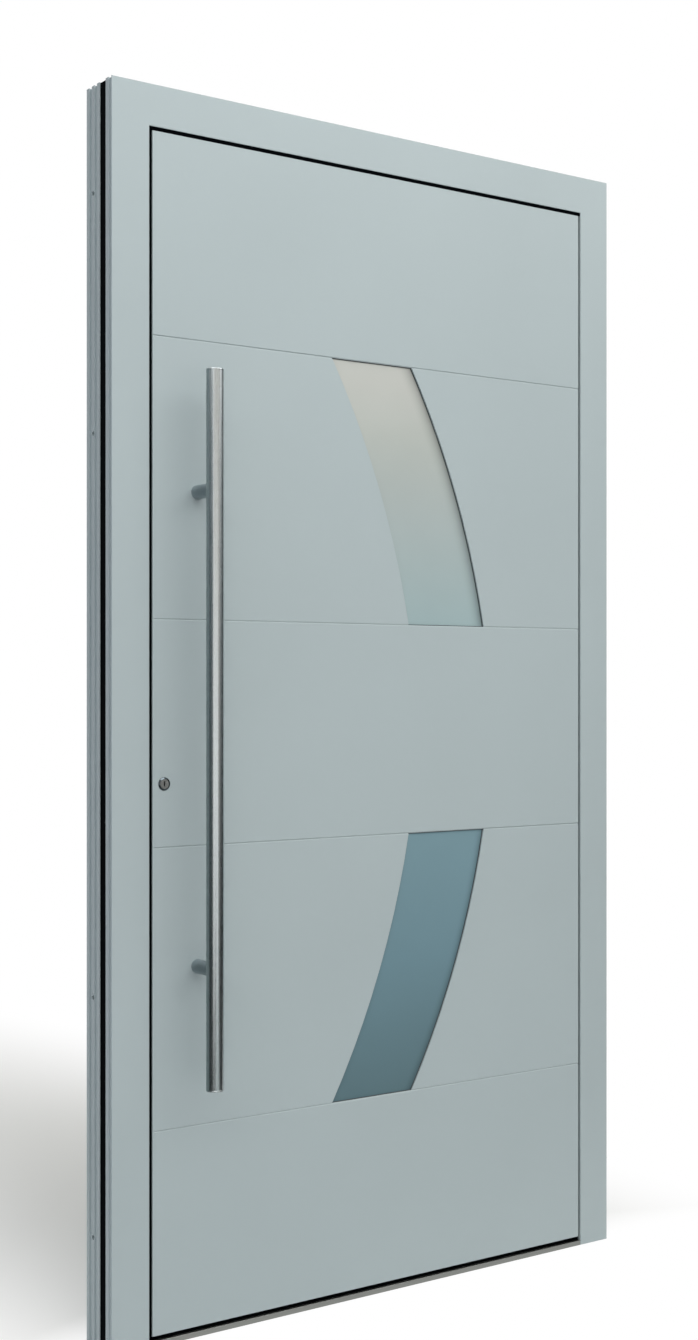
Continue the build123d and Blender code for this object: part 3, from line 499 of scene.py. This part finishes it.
def sink_socket(shape, head):
    """Open a screw's flat end and sink a blind hexagonal socket into it."""
    centre = head.calc_center_median()
    normal = head.normal.copy()
    across = normal.orthogonal().normalized()
    along = normal.cross(across)
    outer = list(head.verts)
    radius = max((vert.co - centre).length for vert in outer)
    mouth = []
    floor = []
    for vert in outer:
        reach = vert.co - centre
        angle = math.atan2(reach.dot(along), reach.dot(across))
        from_flat = (angle + HEXAGON_TURN / 2) % HEXAGON_TURN - HEXAGON_TURN / 2
        span = radius * SOCKET_APOTHEM_SHARE / math.cos(from_flat)
        point = centre + (across * math.cos(angle) + along * math.sin(angle)) * span
        mouth.append(shape.verts.new(point))
        floor.append(shape.verts.new(point - normal * radius * SOCKET_DEPTH_SHARE))
    shape.faces.remove(head)
    for step in range(len(outer)):
        after = (step + 1) % len(outer)
        shape.faces.new((outer[step], outer[after], mouth[after], mouth[step]))
        shape.faces.new((mouth[step], mouth[after], floor[after], floor[step]))
    shape.faces.new(floor)


def socket_screws(name):
    """A copy of a node of screws with a socket in each head, which stands for the node."""
    shape = cleaned_shape(name)
    heads = []
    for body in loose_bodies(shape):
        caps = [face for face in body if len(face.verts) >= CAP_CORNERS]
        heads.append(max(caps, key=lambda face: face.calc_area()))
    for head in heads:
        sink_socket(shape, head)
    stand_in(name, shape, "_socketed")


def turn_housing():
    """The lock's cylinder as turned: a tube with a wide shallow cone at each end."""
    low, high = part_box("cylinder_housing")
    centre_x = (low.x + high.x) / 2
    centre_z = (low.z + high.z) / 2
    outer = (high.x - low.x) / 2
    bore = outer - HOUSING_WALL
    lip = bore + HOUSING_LIP
    section = ((bore, low.y), (lip, low.y), (outer, low.y + HOUSING_CONE), (outer, high.y - HOUSING_CONE),
               (lip, high.y), (bore, high.y))
    angles = [2 * math.pi * step / TURN_STEPS for step in range(TURN_STEPS)]
    rings = []
    for radius, y in section:
        rings.append([(centre_x + radius * math.cos(angle), y, centre_z + radius * math.sin(angle))
                      for angle in angles])
    stand_in("cylinder_housing", ring_shape(rings), "_turned")


def light_outline(inset, side):
    """The edge of the upper or the lower light, drawn in by an inset."""
    low = LIGHT_NEAR + inset
    high = LIGHT_FAR - inset
    heights = [low + (high - low) * step / ARC_STEPS for step in range(ARC_STEPS + 1)]

    def edge(radius, x):
        return [(x + math.sqrt(radius**2 - (z + LIGHT_ARC_DROP) ** 2), z) for z in heights]

    right = edge(LIGHT_ARC_RADIUS - inset, LIGHT_ARC_X)
    left = edge(LIGHT_ARC_RADIUS + inset, LIGHT_ARC_X - LIGHT_WIDTH)
    return [(x, LEAF_MID + side * z) for x, z in right + left[::-1]]


def add_bead(name, side):
    """A grey glazing bead that closes the joint between a pane and the skin's cut edge; its dark grey also
    paints the shade in the light's reveal.
    """
    rings = []
    for inset, rise in BEAD_SECTION:
        y = PANE_FRONT - rise * MM
        rings.append([(x, y, z) for x, z in light_outline(inset * MM, side)])
    bead = add_piece(name, ring_shape(rings), BEAD_AND_SHADE_FINISH)
    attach(bead, "leaf")


def light_world():
    """A white backdrop at strength 1, with a lower even fill on the object."""
    world = bpy.data.worlds.new("studio")
    bpy.context.scene.world = world
    shading = Shading(world, "OutputWorld")
    fill = shading.add("Background", {"Color": WHITE, "Strength": AMBIENT}).outputs["Background"]
    white = shading.add("Background", {"Color": WHITE}).outputs["Background"]
    shading.show(shading.mix(shading.backdrop_share(), fill, white))


def add_lamp(name, place, watts):
    """A large soft lamp, wide and high, that looks down at the object."""
    light = bpy.data.lights.new(name, "AREA")
    light.shape = "RECTANGLE"
    light.size = LAMP_WIDTH
    light.size_y = LAMP_HEIGHT
    light.energy = watts
    lamp = bpy.data.objects.new(name, light)
    lamp.location = place
    lamp.rotation_euler = (LAMP_TARGET - place).to_track_quat("-Z", "Y").to_euler()
    bpy.context.scene.collection.objects.link(lamp)


def add_sheet(name, corners, finish):
    """One flat face with a finish, for the set round the object."""
    mesh = bpy.data.meshes.new(name)
    mesh.from_pydata(corners, [], [range(len(corners))])
    mesh.materials.append(finish)
    sheet = bpy.data.objects.new(name, mesh)
    bpy.context.scene.collection.objects.link(sheet)
    return sheet


def card_finish(name, foot, top):
    """A glow that turns from one colour to another up the card's face, and nothing on its back."""
    material = bpy.data.materials.new(name)
    shading = Shading(material)
    height = shading.axes(shading.add("TexCoord").outputs["Generated"])["Z"]
    colour = shading.ramp(height, ((0.0, linear(foot)), (1.0, linear(top))))
    glow = shading.add("Emission", {"Color": colour}).outputs["Emission"]
    clear = shading.add("BsdfTransparent").outputs["BSDF"]
    shading.show(shading.mix(shading.add("NewGeometry").outputs["Backfacing"], glow, clear))
    return material


def add_card(name, corners, foot, top):
    """A card that the camera never sees, but that metal, glass or coated sides do."""
    card = add_sheet(name, corners, card_finish(name, foot, top))
    card.visible_camera = False
    card.visible_shadow = False
    card.visible_transmission = False
    card.visible_glossy = name not in UNREFLECTED_CARDS
    card.visible_diffuse = name in SHADING_CARDS


def add_cards():
    """The cards round the set, which give the metal and glass something to show."""
    for name, ((x, y, low), (end_x, end_y, high), foot, top) in UPRIGHT_CARDS.items():
        add_card(name, [(x, y, low), (end_x, end_y, low), (end_x, end_y, high), (x, y, high)], foot, top)
    for name, ((x, y), (end_x, end_y), colour) in FLOOR_CARDS.items():
        outline = ((x, y), (end_x, y), (end_x, end_y), (x, end_y))
        add_card(name, [(*corner, FLOOR_CARD_LIFT) for corner in outline], colour, colour)


def floor_finish():
    """A pale floor that holds the shadow near the object and turns white further off."""
    material = bpy.data.materials.new("floor_finish")
    shading = Shading(material)
    seen = shading.backdrop_share()
    tone = shading.add("MixRGB", {"Fac": seen, "Color1": FLOOR_PAINT, "Color2": FLOOR_SEEN}).outputs["Color"]
    paint = shading.add("BsdfDiffuse", {"Color": tone}).outputs["BSDF"]
    white = shading.add("Emission").outputs["Emission"]
    place = shading.add("TexCoord").outputs["Object"]
    offset = shading.vector("SUBTRACT", place, SHADOW_CENTRE)["Vector"]
    offset = shading.vector("MULTIPLY", offset, (1.0, SHADOW_DEPTH_SHARE, 1.0))["Vector"]
    distance = shading.vector("LENGTH", offset)["Value"]
    far = shading.reach(distance, SHADOW_NEAR, SHADOW_FAR, "SMOOTHSTEP")
    front = shading.reach(shading.axes(place)["Y"], FRONT_SHADED, FRONT_WHITE, "SMOOTHSTEP")
    share = shading.calc("MULTIPLY", shading.calc("MAXIMUM", far, front), seen)
    shading.show(shading.mix(share, paint, white))
    return material


def add_floor():
    """A wide floor under the object."""
    half = FLOOR_SIZE / 2
    corners = [(-half, -half, 0.0), (half, -half, 0.0), (half, half, 0.0), (-half, half, 0.0)]
    floor = add_sheet("floor", corners, floor_finish())


def add_camera():
    """The camera that took the photograph: level, with its picture shifted a little."""
    lens = bpy.data.cameras.new("camera")
    lens.sensor_fit = "VERTICAL"
    lens.sensor_height = CAMERA_SENSOR_MM
    lens.lens = CAMERA_LENS_MM
    lens.shift_y = CAMERA_SHIFT_Y
    camera = bpy.data.objects.new("camera", lens)
    camera.location = CAMERA_PLACE
    camera.rotation_euler = (math.radians(CAMERA_LEVEL_DEG), 0.0, math.radians(CAMERA_TURN_DEG))
    bpy.context.scene.collection.objects.link(camera)
    bpy.context.scene.camera = camera


dress_nodes()
for radius, names in SOFT_EDGES:
    for name in names:
        soften(name, radius)
for name in SOCKET_NODES:
    socket_screws(name)
turn_housing()
add_bead("upper_glazing_bead", UPPER)
add_bead("lower_glazing_bead", LOWER)
light_world()
for name, (place, watts) in LAMPS.items():
    add_lamp(name, place, watts)
add_cards()
add_floor()
add_camera()
bpy.context.scene.view_settings.view_transform = "Standard"
